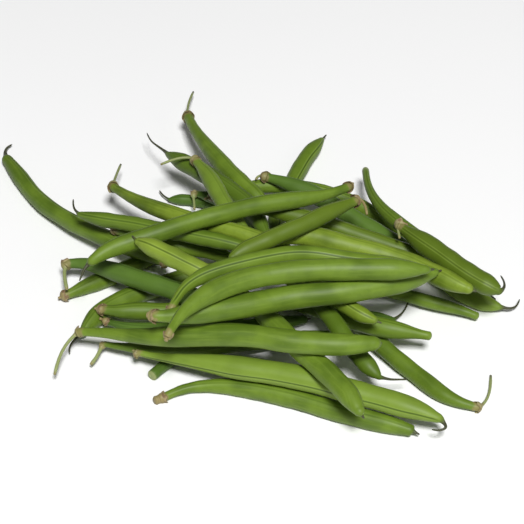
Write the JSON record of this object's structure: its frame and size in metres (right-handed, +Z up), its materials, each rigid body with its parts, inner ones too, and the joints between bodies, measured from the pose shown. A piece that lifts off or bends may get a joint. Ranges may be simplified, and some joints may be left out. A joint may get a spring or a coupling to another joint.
{
  "type": "green bean bundle",
  "caption": "Loose bundle of fresh green beans, heaped as picked, with stalks, caps and curled tails.",
  "frame": {"origin": "on the surface that the heap lies on, under the middle of its box", "axes": "+Z up, +Y away from the viewer of the picture along the surface, +X to the viewer's right"},
  "size_m": [0.2168, 0.225, 0.0493],
  "materials": {
    "bean_bright": "waxy bean skin, yellowish green",
    "bean_mid": "waxy bean skin, mid green",
    "bean_dark": "waxy bean skin, dark bluish green"
  },
  "bodies": {
    "root": {"bean_01": "bean_dark", "bean_02": "bean_mid", "bean_03": "bean_mid", "bean_04": "bean_mid", "bean_05": "bean_dark", "bean_06": "bean_mid", "bean_07": "bean_mid", "bean_08": "bean_mid", "bean_09": "bean_mid", "bean_10": "bean_mid", "bean_11": "bean_dark", "bean_12": "bean_dark", "bean_13": "bean_mid", "bean_14": "bean_mid", "bean_15": "bean_mid", "bean_16": "bean_mid", "bean_17": "bean_mid", "bean_18": "bean_bright", "bean_19": "bean_mid", "bean_20": "bean_mid", "bean_21": "bean_dark", "bean_22": "bean_bright", "bean_23": "bean_mid", "bean_24": "bean_bright", "bean_25": "bean_bright", "bean_26": "bean_mid", "bean_27": "bean_dark", "bean_28": "bean_dark", "bean_29": "bean_mid", "bean_30": "bean_mid", "bean_31": "bean_mid", "bean_32": "bean_bright", "bean_33": "bean_mid", "bean_34": "bean_mid", "bean_35": "bean_mid", "bean_36": "bean_bright", "bean_37": "bean_bright", "bean_38": "bean_mid", "bean_39": "bean_mid", "bean_40": "bean_mid"}
  },
  "joints": []
}
